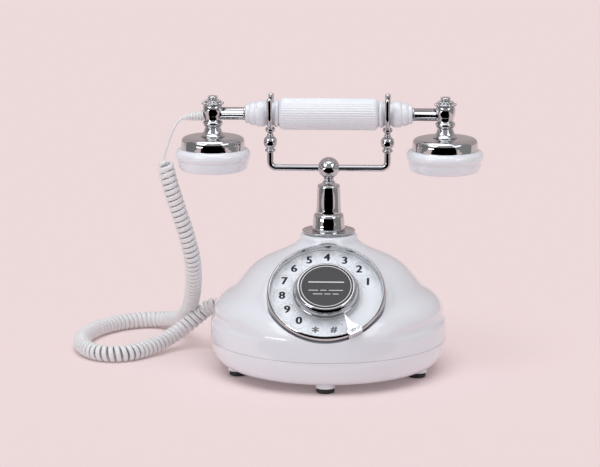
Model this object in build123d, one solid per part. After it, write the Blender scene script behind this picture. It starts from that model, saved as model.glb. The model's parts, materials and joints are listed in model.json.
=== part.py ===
from build123d import *
from math import atan2, cos, degrees, hypot, radians, sin, tan
import os

os.makedirs("parts", exist_ok=True)

# Compact bedroom telephone: a round domed base with a rotary dial, a chrome column, a forked
# cradle that rises with its hook switch, and a two-cup handset on a curly cord.
# Millimetres, +Z up, -Y is the front, origin on the table under the middle of the base.

# ---- base ----
SEAM_Z = 28.0              # joint between the domed shell and the bottom pan
PAN_Z = 8.0                # underside of the pan
WALL = 2.5
NECK_R, NECK_Z = 23.3, 109.0
BRIM_R = 94.8
CREASE_Z, CREASE_R, CREASE_TURN = 48.6, 2.6, 284.0
FOOT_COUNT, FOOT_RING = 5, 75.0
FOOT_POST_R, PAD_R, PAD_Z = 8.0, 7.0, 4.2
SCREW_RING = 78.0

# ---- dial, in its own tilted frame whose z comes out of the dial's face ----
DIAL_Y, DIAL_Z, DIAL_TILT = -58.0, 75.0, 50.0
BEZEL_R, BEZEL_IN_R = 46.6, 44.3
RECESS_FLOOR = -4.5
PLATE_TOP = -2.0
WHEEL_R, WHEEL_LOW, WHEEL_TOP = 43.9, 0.2, 2.7
HOLE_RING, HOLE_R, HOLE_STEP, FIRST_HOLE, HOLES = 35.2, 6.7, 24.0, 18.0, 12
HUB_R, HUB_TOP_R, HUB_TOP = 26.2, 22.6, 10.2
LABEL_R = 21.2
SHAFT_R, PIN_R = 3.0, 1.5
RUN = 0.06                 # radial running clearance
GEAR_MODULE, GEAR_TEETH, PINION_TEETH = 0.8, 60, 12

# ---- column and cradle ----
COLUMN_TOP = 151.2
STEP_Z = 128.0
FLANGE_R = 21.3
PLUNGER_R = 2.5
BAR_Z, BAR_R, POST_X = 164.6, 2.65, 46.6
BALL_R = 8.7
FORK_R, PRONG_R, PRONG_TOP = 12.9, 2.1, 222.6

# ---- handset ----
AXIS_Z = 208.0
GRIP_HALF, GRIP_R, FLUTES = 39.7, 12.8, 40
GROOVE_R = 8.4
TUBE_R = 5.0
END_X = 92.3
EAR_SCALE = 1.027          # the ear end is a little wider than the mouth end
CUP_R, CUP_TOP, CUP_LOW = 25.4, 189.6, 180.0
CAP_R, CAP_LOW = 30.0, 162.4

# ---- cord ----
LEAD_R, CURL_R = 1.2, 5.9
JACK_TURN, JACK_Z = 146.0, 37.0


def save(name, part):
    """Write one sub-part."""
    part.label = name
    export_step(part, f"parts/{name}.step")


def lathe(points):
    """Turn a closed polyline outline (radius, height) about Z."""
    return revolve(Plane.XZ * make_face(Polyline(*points, close=True)), Axis.Z)


def tube(r_out, r_in, low, high):
    """Upright ring from low to high."""
    ring = Pos(0, 0, (low + high) / 2) * Cylinder(r_out, high - low)
    return ring - Pos(0, 0, (low + high) / 2) * Cylinder(r_in, high - low + 1) if r_in else ring


def block(low, high):
    """Box between two corners."""
    size = [b - a for a, b in zip(low, high)]
    return Pos(*[(a + b) / 2 for a, b in zip(low, high)]) * Box(*size)


def ring_places(count, radius, start):
    """Points evenly round a circle, in the XY plane."""
    turns = [radians(start + 360 * i / count) for i in range(count)]
    return [(radius * cos(t), radius * sin(t)) for t in turns]


DIAL = Plane(origin=(0, DIAL_Y, DIAL_Z), x_dir=(1, 0, 0),
             z_dir=(0, -cos(radians(DIAL_TILT)), sin(radians(DIAL_TILT))))


def on_dial(part):
    """Place a part made upright at the origin onto the tilted dial."""
    return DIAL.location * part


# ================= base shell and pan =================
def dome_face():
    """Half outline of the whole base."""
    side = Spline((BRIM_R, 30), (94.2, 46), (92.0, 52), (88.2, 58.4), (83.0, 62.8), (76.6, 67.4),
                  (69.4, 75.8), (62.0, 84.0), (54.0, 89.7), (44.0, 94.5), (33.6, 99.4),
                  (27.2, 103.2), (NECK_R, NECK_Z), tangents=((0, 1), (-0.18, 1)))
    low = Spline((84, PAN_Z), (91.4, 15.0), (94.2, 22.6), (BRIM_R, 30),
                 tangents=((1, 0.35), (0, 1)))
    lip = RadiusArc((NECK_R, NECK_Z), (NECK_R - 2.0, NECK_Z + 3.2), -3.4)
    rest = Polyline((NECK_R - 2.0, NECK_Z + 3.2), (0, NECK_Z + 3.2), (0, PAN_Z), (84, PAN_Z))
    return Plane.XZ * make_face([side, low, lip, rest])


outer = revolve(dome_face(), Axis.Z)
inner_side = Spline((BRIM_R - WALL, 26), (91.4, 46), (86.0, 57.0), (74.6, 65.4), (60.0, 81.8),
                    (43.0, 92.0), (32.0, 97.0), (24.5, 101.5), (19.5, 107), (19.0, 130),
                    tangents=((0, 1), (0, 1)))
inner = revolve(Plane.XZ * make_face([inner_side, Polyline((19.0, 130), (0, 130), (0, 26),
                                                           (BRIM_R - WALL, 26))]), Axis.Z)

# the dial's seat is a shallow dish whose flared white rim blends into the dome
ahead_of_neck = block((-150, -150, 20), (150, -21, 120))
mound = on_dial(lathe([(0, -3.0), (49.0, -3.0), (51.0, -4.5), (61.0, -16.0), (0, -16.0)])) & ahead_of_neck
dish = on_dial(lathe([(30, -3.0), (49.0, -3.0), (51.0, -4.5), (61.0, -16.0), (57.5, -16.0),
                      (47.5, -7.0), (30, -7.0)])) & ahead_of_neck
well = on_dial(tube(49.0, 0, -3.0, 34) + tube(46.8, 0, RECESS_FLOOR, 0)
               + tube(38.0, 0, -9, RECESS_FLOOR + 1))
neck_web = tube(22, 6.3, 103.5, 108.5)
cavity = inner - dish - neck_web
above_seam = block((-150, -150, SEAM_Z), (150, 150, 130))

shell = ((outer + mound) & above_seam) - cavity - well - tube(18.8, 0, 108.5, 130)
crease_mid = BRIM_R - 3.0 + CREASE_R
crease = revolve(Plane.XZ * Pos(crease_mid, CREASE_Z) * Circle(CREASE_R), Axis.Z, CREASE_TURN)
shell = shell - Rot(0, 0, -90 + (360 - CREASE_TURN) / 2) * crease
for x, y in ring_places(FOOT_COUNT, SCREW_RING, -54):
    turn = degrees(atan2(y, x))
    boss = Pos(x, y, 36) * Cylinder(4.5, 16)
    rib = Rot(0, 0, turn) * block((SCREW_RING, -1.5, SEAM_Z), (BRIM_R - 1.5, 1.5, 44))
    shell = shell + ((boss + rib) - Pos(x, y, 36) * Cylinder(1.6, 40))

jack_pocket = Rot(0, 0, JACK_TURN) * block((80, -7.1, JACK_Z - 6.1), (100, 7.1, JACK_Z + 6.1))
shell = shell - jack_pocket
save("base_shell", shell)

pan = outer & block((-150, -150, 0), (150, 150, SEAM_Z))
pan_hollow = lathe([(0, PAN_Z + 3), (84, PAN_Z + 3), (89.2, 17), (BRIM_R - WALL - 0.6, 24),
                    (BRIM_R - WALL - 0.4, SEAM_Z + 1), (0, SEAM_Z + 1)])
pan = pan - pan_hollow
for x, y in ring_places(FOOT_COUNT, FOOT_RING, -90):
    pan = pan + Pos(x, y, (PAD_Z + PAN_Z + 1) / 2) * Cylinder(FOOT_POST_R, PAN_Z + 1 - PAD_Z)
for x, y in ring_places(FOOT_COUNT, SCREW_RING, -54):
    pan = pan + (Pos(x, y, (PAN_Z + SEAM_Z) / 2) * Cylinder(4.5, SEAM_Z - PAN_Z) & outer)
    pan = pan - Pos(x, y, 18) * Cylinder(1.7, 40) - Pos(x, y, PAN_Z + 1) * Cylinder(3.6, 4)
BOARD = ((-40, 28, 20.0), (40, 64, 21.6))
for x in (-36, 36):
    for y in (32, 60):
        pan = pan + Pos(x, y, 15.5) * Cylinder(2.5, 9)
for x, y in [(0, 10)] + [(sx, sy + 10) for r, n in ((6, 6), (12, 10)) for sx, sy in ring_places(n, r, 0)]:
    pan = pan - Pos(x, y, PAN_Z + 1) * Cylinder(1.3, 8)
LINE_X, SWITCH_X = 30.0, -28.0
pan = pan - block((LINE_X - 8.1, 76, 11.9), (LINE_X + 8.1, 100, 24.1))
pan = pan - block((SWITCH_X - 8, 80, 16.8), (SWITCH_X + 8, 100, 21.2))
save("base_pan", pan)

pads = [Pos(x, y, PAD_Z / 2) * Cylinder(PAD_R, PAD_Z) for x, y in ring_places(FOOT_COUNT, FOOT_RING, -90)]
save("foot_pads", Compound(children=[chamfer(p.edges().group_by(Axis.Z)[0], 0.8) for p in pads]))
screws = [Pos(x, y, 0) * (tube(3.4, 0, PAN_Z + 1.0, PAN_Z + 3.0) + tube(1.55, 0, PAN_Z + 3.0, 40))
          for x, y in ring_places(FOOT_COUNT, SCREW_RING, -54)]
save("pan_screws", Compound(children=screws))

# ================= inside the base =================
save("ballast_weight", fillet(block((-40, -62, 11), (40, -16, 18)).edges().filter_by(Axis.Z), 8))
save("ringer_speaker", Pos(0, 10, 0) * lathe([(0, 11), (19, 11), (20, 12), (20, 15), (12, 19), (12, 23),
                                              (0, 23)]))
board = block(*BOARD)
for low, high in (((-30, 34, 21.6), (-14, 50, 26)), ((-6, 40, 21.6), (10, 48, 24)),
                  ((16, 38, 21.6), (24, 46, 32)), ((-28, 53, 21.6), (-20, 61, 30))):
    board = board + block(low, high)
save("main_circuit_board", board)
save("line_jack", block((LINE_X - 8, 76, 12), (LINE_X + 8, 89.5, 24))
     - block((LINE_X - 5.8, 79, 14), (LINE_X + 5.8, 95, 22)))
save("switch_block", block((SWITCH_X - 10, 67, 14), (SWITCH_X + 10, 77.5, 24))
     - block((SWITCH_X - 8.5, 71, 16.5), (SWITCH_X + 8.5, 90, 21.5)))
slider = block((SWITCH_X - 4, 73, 17), (SWITCH_X + 4, 93.0, 21))
save("ringer_switch", fillet(slider.edges().group_by(Axis.Y)[-1], 0.6))
jack = (block((80, -7, JACK_Z - 6), (93.6, 7, JACK_Z + 6))
        - block((83, -5.2, JACK_Z - 3.6), (99, 5.2, JACK_Z + 3.6)))
save("handset_jack", Rot(0, 0, JACK_TURN) * jack)

# ================= column =================
save("column_flange", lathe([(6.2, 108.6), (18.6, 108.6), (18.6, 112.3), (21.0, 112.9),
                             (FLANGE_R, 114.2), (20.3, 114.2),
                             (17.0, 113.0), (13.4, 112.8), (13.4, 114.4), (6.2, 114.4)]))
lower = lathe([(2.56, 92), (6.0, 92), (6.0, 114.6), (13.0, 114.6), (13.0, 115.8), (12.0, 125.8),
               (11.6, 127.0), (10.4, STEP_Z),
               (6.2, STEP_Z), (6.2, 116.5), (2.56, 116.5)])
save("column_lower", lower)
save("column_upper", lathe([(6.2, STEP_Z), (9.9, STEP_Z), (9.9, 129.2), (9.0, 149.8), (8.2, COLUMN_TOP),
                            (2.56, COLUMN_TOP),
                            (2.56, 146.5), (6.2, 146.5)]))
hexagon = Pos(0, 0, 97.9) * extrude(RegularPolygon(10, 6), 5.4)
save("column_nut", hexagon - tube(6.05, 0, 95, 106))
save("hook_switch", block((-11, -7, 74), (11, 7, 92)) - tube(3.2, 0, 80, 95))

# ================= cradle =================
plunger = tube(PLUNGER_R, 0, 84, 153) + tube(5.4, 0, 131, 134)
spool = lathe([(0, 152.2), (5.2, 152.2), (5.2, 153.4), (3.8, 155.2), (3.8, 156.2), (5.2, 157.6),
               (5.2, 159), (0, 159)])
save("plunger", plunger + spool)
coil = Helix(pitch=2.3, height=11.6, radius=4.3)
spring = sweep(Plane(origin=coil @ 0, z_dir=coil % 0) * Circle(0.45), path=coil)
save("plunger_spring", Pos(0, 0, 117.2) * spring)
ball = Pos(0, 0, BAR_Z) * Sphere(BALL_R) - tube(12, 0, 140, 159)
save("cradle_ball", ball - Pos(0, 0, BAR_Z) * Rot(0, 90, 0) * Cylinder(BAR_R, 40))
BEND = 4.6
for side, word in ((-1, "left"), (1, "right")):
    run = FilletPolyline((0.02 * side, 0, BAR_Z), (POST_X * side, 0, BAR_Z), (POST_X * side, 0, 178),
                         radius=BEND)
    rod = sweep(Plane(origin=run @ 0, z_dir=run % 0) * Circle(BAR_R), path=run)
    save(f"crossbar_{word}", rod)
    top = lathe([(0, 178), (4.0, 178), (4.6, 179), (4.0, 180.2), (2.8, 180.6), (2.8, 181), (4.4, 182.1),
                 (5.4, 185.2), (4.4, 188.3),
                 (2.7, 189.6), (2.3, 192.4), (2.9, 193.6), (3.9, 195.2), (3.9, 196.2), (2.8, 197.2),
                 (2.2, 197.8), (0, 197.8)])
    bottom_z = AXIS_Z - GROOVE_R - PRONG_R - 0.25
    arc_mid = bottom_z + FORK_R
    prongs = []
    for s in (-1, 1):
        tip = (0, s * (FORK_R + 1.0), PRONG_TOP - PRONG_R)
        foot = (0, s * FORK_R, arc_mid)
        length = hypot(tip[1] - foot[1], tip[2] - foot[2])
        lean = degrees(atan2(-(tip[1] - foot[1]), tip[2] - foot[2]))
        stick = Cone(PRONG_R, PRONG_R * 1.25, length)
        mid = [(a + b) / 2 for a, b in zip(tip, foot)]
        prongs.append(Pos(*mid) * Rot(lean, 0, 0) * stick + Pos(*tip) * Sphere(PRONG_R * 1.25))
    saddle = (Pos(0, 0, arc_mid) * Rot(0, 90, 0) * Torus(FORK_R, PRONG_R)
              & block((-9, -20, 190), (9, 20, arc_mid)))
    fork = saddle + prongs[0] + prongs[1]
    neck = tube(2.2, 0, 196.6, bottom_z)
    save(f"post_{word}", Pos(POST_X * side, 0, 0) * (top - fork - neck))
    save(f"fork_{word}", Pos(POST_X * side, 0, 0) * (fork + neck))

# ================= handset =================
def along_x(points):
    """Turn an outline (place along X, radius) about the handset's axis."""
    face = Plane.XZ * make_face(Polyline(*points, close=True))
    return Pos(0, 0, AXIS_Z) * revolve(face, Axis.X)


barrel = along_x([(-GRIP_HALF, 0), (-GRIP_HALF, 9.4), (-GRIP_HALF + 1.6, 11.6), (-GRIP_HALF + 4, GRIP_R),
                  (GRIP_HALF - 4, GRIP_R),
                  (GRIP_HALF - 1.6, 11.6), (GRIP_HALF, 9.4), (GRIP_HALF, 0)])
flute_ring = [Pos(y, z) * Circle(0.62) for y, z in ring_places(FLUTES, GRIP_R, 0)]
star = Circle(GRIP_R + 0.1) - flute_ring
fluted = Pos(-GRIP_HALF - 1, 0, AXIS_Z) * Rot(0, 90, 0) * extrude(star, 2 * GRIP_HALF + 2)
grip = (barrel & fluted) - Pos(0, 0, AXIS_Z) * Rot(0, 90, 0) * Cylinder(7.6, 100)
save("handset_grip", grip)
save("grip_weight", Pos(0, 0, AXIS_Z) * Rot(0, 90, 0) * Cylinder(7.5, 62))
for side, word in ((-1, "left"), (1, "right")):
    prof = [(31.2, 0), (31.2, 7.5), (GRIP_HALF, 7.5), (GRIP_HALF, 9.6), (41.0, 10.6), (42.6, 10.5),
            (44.2, 9.0), (46.0, GROOVE_R),
            (47.6, GROOVE_R), (49.4, 8.9), (52.6, 9.9), (55.6, 10.2), (58.4, 9.8), (61.6, 8.7),
            (64.6, 7.9), (65.8, 7.6), (66.2, 6.6),
            (66.2, 0)]
    sleeve = along_x([(side * x, r) for x, r in prof])
    bore = Pos(side * 63, 0, AXIS_Z) * Rot(0, 90, 0) * Cylinder(TUBE_R, 8)
    save(f"grip_sleeve_{word}", sleeve - bore)
    arm = Pos(side * 72.8, 0, AXIS_Z) * Rot(0, 90, 0) * Cylinder(TUBE_R, 27.4)
    save(f"arm_tube_{word}", arm)

for side, word in ((-1, "mouth"), (1, "ear")):
    k = EAR_SCALE if side > 0 else 1.0
    put = Pos(side * END_X, 0, 0)
    urn = lathe([(0, CUP_TOP), (9.4, CUP_TOP), (9.6, 190.6), (8.6, 191.6), (7.6, 193.2), (6.4, 196),
                 (6.2, 198), (7.2, 198.6),
                 (8.0, 200.2), (7.2, 201.8), (6.4, 202.6), (6.3, 203.6), (7.0, 206), (7.8, 209.4),
                 (7.8, 212), (7.2, 214.4), (6.2, 215.4),
                 (0, 215.4)])
    socket = Pos(side * (86.5 - END_X) - side * 7, 0, AXIS_Z) * Rot(0, 90, 0) * Cylinder(TUBE_R, 14)
    urn = urn - socket
    crown = tube(8.0, 0, 215.4, 217.4)
    for x, y in ring_places(12, 7.9, 0):
        crown = crown + Pos(x, y, 216.4) * Cylinder(1.75, 2.0)
    crown = crown + lathe([(0, 217.4), (5.4, 217.4), (4.6, 218.3), (3.6, 218.8), (4.2, 220.2),
                           (3.7, 221.6), (2.2, 222.5), (0, 222.8)])
    save(f"{word}_post", put * urn)
    save(f"{word}_finial", put * crown)
    cup = lathe([(0, CUP_TOP), (20.5 * k, CUP_TOP), (23.0 * k, CUP_TOP - 0.8), (24.8 * k, CUP_TOP - 2.6),
                 (CUP_R * k, CUP_TOP - 5.2),
                 (CUP_R * k, CUP_LOW), (23.6 * k, CUP_LOW), (23.6 * k, 173), (21.8 * k, 173),
                 (21.8 * k, 186), (0, 186)])
    save(f"{word}_cup", put * cup)
    cap = lathe([(23.7 * k, CUP_LOW), (26.0 * k, CUP_LOW), (28.2 * k, 179.0), (29.6 * k, 177.2),
                 (CAP_R * k, 175.0),
                 (29.7 * k, 173.0), (28.6 * k, 171.4), (28.1 * k, 171.2), (27.8 * k, 167.0),
                 (27.0 * k, 164.0),
                 (25.6 * k, 162.8), (23.8 * k, CAP_LOW), (0, CAP_LOW), (0, CAP_LOW + 2.4),
                 (23.4 * k, CAP_LOW + 2.4), (23.7 * k, 172)])
    for x, y in [(0, 0)] + ring_places(6, 6, 0) + ring_places(12, 12, 15):
        cap = cap - Pos(x, y, CAP_LOW + 1) * Cylinder(1.1, 6)
    save(f"{word}_cap", put * cap)
save("microphone_capsule", Pos(-END_X, 0, 0) * tube(11, 0, CAP_LOW + 2.4, 172))
save("earpiece_speaker", Pos(END_X, 0, 0) * lathe([(0, CAP_LOW + 2.4), (20, CAP_LOW + 2.4), (20, 168),
                                                   (14, 172), (8, 172), (8, 178), (0, 178)]))
save("mouth_weight", Pos(-END_X, 0, 0) * tube(16, 0, 179, 186))

# strain relief, a ribbed cone leaving the mouth end's post
RELIEF_START, RELIEF_LONG = 99.4, 16.8
relief = lathe([(0, 0), (3.9, 0), (3.4, RELIEF_LONG * 0.3), (1.9, RELIEF_LONG * 0.96),
                (1.7, RELIEF_LONG), (0, RELIEF_LONG)])
for i in range(6):
    relief = relief + Pos(0, 0, 2.6 + 2.3 * i) * Cylinder(4.2 - 0.36 * i, 1.1)
RELIEF = Pos(-RELIEF_START, -0.6, 206.6) * Rot(0, -98, 0)
save("strain_relief", (RELIEF * relief) - Pos(-END_X, 0, 0) * tube(7.9, 0, 190, 216))

# ================= dial =================
save("dial_bezel", on_dial(lathe([(BEZEL_IN_R, RECESS_FLOOR), (BEZEL_R, RECESS_FLOOR), (BEZEL_R, 1.0),
                                  (46.3, 2.8), (45.7, 4.3),
                                  (45.0, 4.9), (BEZEL_IN_R, 5.0)])))
save("number_plate", on_dial(tube(44.2, SHAFT_R + 0.5, RECESS_FLOOR, PLATE_TOP)))
wheel = tube(WHEEL_R, 8.0, WHEEL_LOW, WHEEL_TOP)
for x, y in [(HOLE_RING * cos(radians(FIRST_HOLE + HOLE_STEP * i)),
              HOLE_RING * sin(radians(FIRST_HOLE + HOLE_STEP * i))) for i in range(HOLES)]:
    wheel = wheel - Pos(x, y, WHEEL_LOW) * Cylinder(HOLE_R, 12)
save("finger_wheel", on_dial(wheel))
hub = lathe([(SHAFT_R, -0.6), (7.9, -0.6), (7.9, WHEEL_TOP), (HUB_R, WHEEL_TOP), (25.2, 5.0),
             (23.4, 9.1), (HUB_TOP_R, HUB_TOP),
             (21.4, HUB_TOP), (21.4, HUB_TOP - 0.9), (0, HUB_TOP - 0.9), (0, 4.0), (SHAFT_R, 4.0)])
save("dial_hub", on_dial(hub))
save("label_card", on_dial(tube(LABEL_R, 0, HUB_TOP - 0.9, HUB_TOP - 0.2)))
blade = Polyline((13.9, -22.0), (18.6, -41.8), (19.4, -43.2), (28.0, -37.6), (26.5, -34.0),
                 (20.6, -31.6), (16.2, -25.8), close=True)
STOP_LOW = 5.2
stop = Pos(0, 0, STOP_LOW) * extrude(make_face(blade), 1.0)
hook = tube(47.9, 46.9, -2.6, STOP_LOW + 1.0) + tube(47.9, 43.5, STOP_LOW, STOP_LOW + 1.0)
hook = hook & Pos(0, 0, 2) * extrude(make_face(Polyline((0, 0), (23.4, -54), (36.2, -46.6), close=True)),
                                     30, both=True)
save("finger_stop", on_dial(stop + hook))
save("dial_shaft", on_dial(tube(SHAFT_R, 0, -21.5, 4.0)))

PITCH_R = GEAR_MODULE * GEAR_TEETH / 2
PINION_R = GEAR_MODULE * PINION_TEETH / 2
PINION_X = -(PITCH_R + PINION_R)


def gear(teeth, bore, low, high, turned):
    """Straight-flanked gear with backlash, on the dial's frame."""
    r = GEAR_MODULE * teeth / 2
    root, tip = r - 1.15 * GEAR_MODULE, r + 0.78 * GEAR_MODULE
    step = 360 / teeth
    outline = []
    for i in range(teeth):
        for rad, part in ((root, -0.34), (tip, -0.11), (tip, 0.11), (root, 0.34)):
            a = radians(turned + step * (i + part))
            outline.append((rad * cos(a), rad * sin(a)))
    body = Pos(0, 0, low) * extrude(make_face(Polyline(*outline, close=True)), high - low)
    return body - tube(bore, 0, low - 1, high + 1) if bore else body


save("main_gear", on_dial(gear(GEAR_TEETH, SHAFT_R, -12, -9, 180)))
rotor = gear(PINION_TEETH, 0, -12.4, -8.6, 180 / PINION_TEETH) + tube(PIN_R, 0, -20.5, -4.6)
rotor = rotor + tube(6.8, 0, -16.5, -13.5) + block((-9.5, -2, -16.5), (9.5, 2, -13.5))
save("governor_rotor", on_dial(Pos(PINION_X, 0, 0) * rotor))
posts = [(33 * cos(radians(a)), 33 * sin(radians(a))) for a in (60, 120, 240, 300)]
frame_plate = tube(37.4, SHAFT_R + RUN, -6.5, RECESS_FLOOR)
frame_plate = frame_plate - Pos(PINION_X, 0, -5) * Cylinder(PIN_R + RUN, 6)
bridge = tube(36.0, SHAFT_R + RUN, -20, -18) - Pos(PINION_X, 0, -19) * Cylinder(PIN_R + RUN, 6)
for x, y in posts:
    bridge = bridge + Pos(x, y, -12.25) * Cylinder(2.2, 11.5)
save("dial_frame", on_dial(frame_plate))
save("dial_bridge", on_dial(bridge))
save("return_spring", on_dial(tube(13.0, 5.0, -8.4, -6.5)))

# ================= cord =================
def cord_tube(points, radius):
    """Round cord along straight runs with tangent arcs between them."""
    bends = []
    for a, b, c in zip(points, points[1:], points[2:]):
        u, v = Vector(*b) - Vector(*a), Vector(*c) - Vector(*b)
        half = radians(u.get_angle(v)) / 2
        bends.append(0.45 * min(u.length, v.length) / tan(half))
    path = FilletPolyline(*points, radius=bends)
    print("bends", [round(r, 1) for r in bends], "length", round(path.length, 1))
    return sweep(Plane(origin=path @ 0, z_dir=path % 0) * Circle(radius), path=path)


UPPER_LEAD = [(-116.6, -0.6, 204.3), (-120.5, -2.0, 201.5), (-124.4, -4.0, 194.0), (-128.0, -5.6, 184.0),
              (-131.6, -7.0, 172.0)]
CURL = [(-129.5, -8.0, 166.5), (-126.5, -7.0, 152.0), (-120.5, -3.0, 131.0), (-113.5, 2.0, 107.0),
        (-109.0, 12.0, 82.0),
        (-112.0, 40.0, 52.0), (-121.0, 88.0, 22.0), (-136.0, 128.0, 8.5), (-160.0, 136.0, 6.9),
        (-188.0, 118.0, 6.9),
        (-206.0, 84.0, 6.9), (-207.0, 44.0, 6.9), (-190.0, 14.0, 6.9), (-166.0, 12.0, 6.9),
        (-147.0, 34.0, 7.2), (-131.0, 55.0, 12.0),
        (-116.0, 62.0, 22.5), (-103.0, 63.5, 33.5)]
jack_dir = (cos(radians(JACK_TURN)), sin(radians(JACK_TURN)))
PLUG_OUT = 96.5
LOWER_LEAD = [(-102.6, 63.5, 33.8), (-96.5, 62.7, 36.6)]
LOWER_LEAD += [(r * jack_dir[0], r * jack_dir[1], JACK_Z) for r in (107.0, PLUG_OUT)]
save("cord_upper_lead", cord_tube(UPPER_LEAD, LEAD_R))
save("cord_curl", cord_tube(CURL, CURL_R))
save("cord_lower_lead", cord_tube(LOWER_LEAD, LEAD_R))
plug = block((84, -5.0, JACK_Z - 3.4), (PLUG_OUT, 5.0, JACK_Z + 3.4))
save("cord_plug", Rot(0, 0, JACK_TURN) * plug)
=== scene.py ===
import json
from math import atan2, cos, hypot, radians, sin, tau

import bpy
from bpy.props import FloatProperty, FloatVectorProperty, IntProperty, PointerProperty
from mathutils import Matrix, Quaternion, Vector


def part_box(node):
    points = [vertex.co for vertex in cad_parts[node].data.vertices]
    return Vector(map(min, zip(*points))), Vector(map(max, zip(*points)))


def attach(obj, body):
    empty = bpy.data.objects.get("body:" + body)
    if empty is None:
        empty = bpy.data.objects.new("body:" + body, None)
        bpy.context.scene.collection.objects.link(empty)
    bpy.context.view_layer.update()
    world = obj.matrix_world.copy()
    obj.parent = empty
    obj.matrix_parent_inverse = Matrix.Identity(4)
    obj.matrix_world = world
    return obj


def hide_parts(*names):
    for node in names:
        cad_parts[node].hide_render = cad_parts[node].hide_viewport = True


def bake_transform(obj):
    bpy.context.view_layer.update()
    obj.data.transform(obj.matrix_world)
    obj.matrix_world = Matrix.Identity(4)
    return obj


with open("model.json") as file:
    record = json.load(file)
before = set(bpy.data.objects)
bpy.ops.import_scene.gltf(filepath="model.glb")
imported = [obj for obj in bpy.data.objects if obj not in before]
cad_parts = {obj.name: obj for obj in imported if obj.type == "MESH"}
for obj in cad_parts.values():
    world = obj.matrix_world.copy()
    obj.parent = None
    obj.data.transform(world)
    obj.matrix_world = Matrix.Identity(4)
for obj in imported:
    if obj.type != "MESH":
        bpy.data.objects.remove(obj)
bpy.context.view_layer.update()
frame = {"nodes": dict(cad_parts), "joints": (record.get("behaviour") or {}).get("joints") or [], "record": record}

bl_info = {
    "name": "Bedroom telephone",
    "version": (1, 0, 0),
    "blender": (4, 5, 0),
    "location": "View3D > Sidebar > Telephone",
    "description": "Dresses the telephone frame with its shells, chrome, dial, handset, cord and stage",
    "category": "Object",
}

MM = 0.001


# ------------------------------------------------------------------ places read from the frame
def low(node):
    return Vector(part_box(node)[0])


def high(node):
    return Vector(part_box(node)[1])


def middle(node):
    return (low(node) + high(node)) / 2


def joint(name):
    return next(j for j in frame["joints"] if j["name"] == name)


DIAL_HINGE = joint("dial_turn")
DIAL_FACE = -Vector(DIAL_HINGE["axis"]).normalized()
DIAL_PLACE = Matrix.Translation(Vector(DIAL_HINGE["pos_m"])) @ Matrix(
    (Vector((1, 0, 0)), DIAL_FACE.cross(Vector((1, 0, 0))), DIAL_FACE)).transposed().to_4x4()


# ------------------------------------------------------------------ sizes and colours a user may change
class PhoneSizes(bpy.types.PropertyGroup):
    lathe_steps: IntProperty(name="Lathe steps", description="Steps round a turned piece", default=96, min=24)
    hole_ring: FloatProperty(name="Hole ring", description="Radius of the ring of finger holes",
                             default=35.2 * MM, unit="LENGTH")
    hole_radius: FloatProperty(name="Finger hole", description="Radius of a finger hole", default=6.7 * MM,
                               unit="LENGTH")
    first_hole: FloatProperty(name="First hole",
                              description="Turn of the hole of the digit 1, from the dial's right",
                              default=radians(18), subtype="ANGLE")
    hole_step: FloatProperty(name="Hole step", description="Turn from one hole to the next",
                             default=radians(24), subtype="ANGLE")
    digit_height: FloatProperty(name="Digit height", description="Height of a digit on the dial",
                                default=6.8 * MM, unit="LENGTH")
    ribbon_width: FloatProperty(name="Cord width", description="Width of the flat cord", default=3.9 * MM,
                                unit="LENGTH")
    ribbon_thick: FloatProperty(name="Cord thickness", description="Thickness of the flat cord",
                                default=2.3 * MM, unit="LENGTH")
    curl_radius: FloatProperty(name="Curl radius", description="Outer radius of the curly cord",
                               default=6.8 * MM, unit="LENGTH")
    curl_pitch: FloatProperty(name="Curl pitch", description="Distance from one turn of the cord to the next",
                              default=4.7 * MM, unit="LENGTH")
    flutes: IntProperty(name="Flutes", description="Flutes round the grip", default=40, min=12)


class PhoneColours(bpy.types.PropertyGroup):
    white: FloatVectorProperty(name="Plastic", description="Gloss plastic of the base, grip and caps",
                               default=(0.79, 0.81, 0.86), subtype="COLOR")
    chrome: FloatVectorProperty(name="Chrome", description="Plated metal", default=(0.60, 0.60, 0.615),
                                subtype="COLOR")
    cord: FloatVectorProperty(name="Cord", description="Cord jacket", default=(0.80, 0.80, 0.81), subtype="COLOR")
    label: FloatVectorProperty(name="Label", description="Card in the middle of the dial",
                               default=(0.022, 0.022, 0.026), subtype="COLOR")
    backdrop: FloatVectorProperty(name="Backdrop", description="Studio floor and surroundings",
                                  default=(0.84, 0.72, 0.719), subtype="COLOR")


def sizes():
    return bpy.context.scene.phone_sizes


def colours():
    return bpy.context.scene.phone_colours


# ------------------------------------------------------------------ shader maths
class Wire:
    """A shader socket that takes part in Python expressions."""

    def __init__(self, finish, socket):
        self.finish, self.socket = finish, socket

    def math(self, operation, *others):
        return self.finish.node("ShaderNodeMath", {"operation": operation}, **{
            str(i): v for i, v in enumerate((self,) + others)})[0]

    def __add__(self, other):
        return self.math("ADD", other)

    def __sub__(self, other):
        return self.math("SUBTRACT", other)

    def __mul__(self, other):
        return self.math("MULTIPLY", other)

    def __rsub__(self, other):
        return (self * -1.0) + other

    __radd__, __rmul__ = __add__, __mul__


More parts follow.
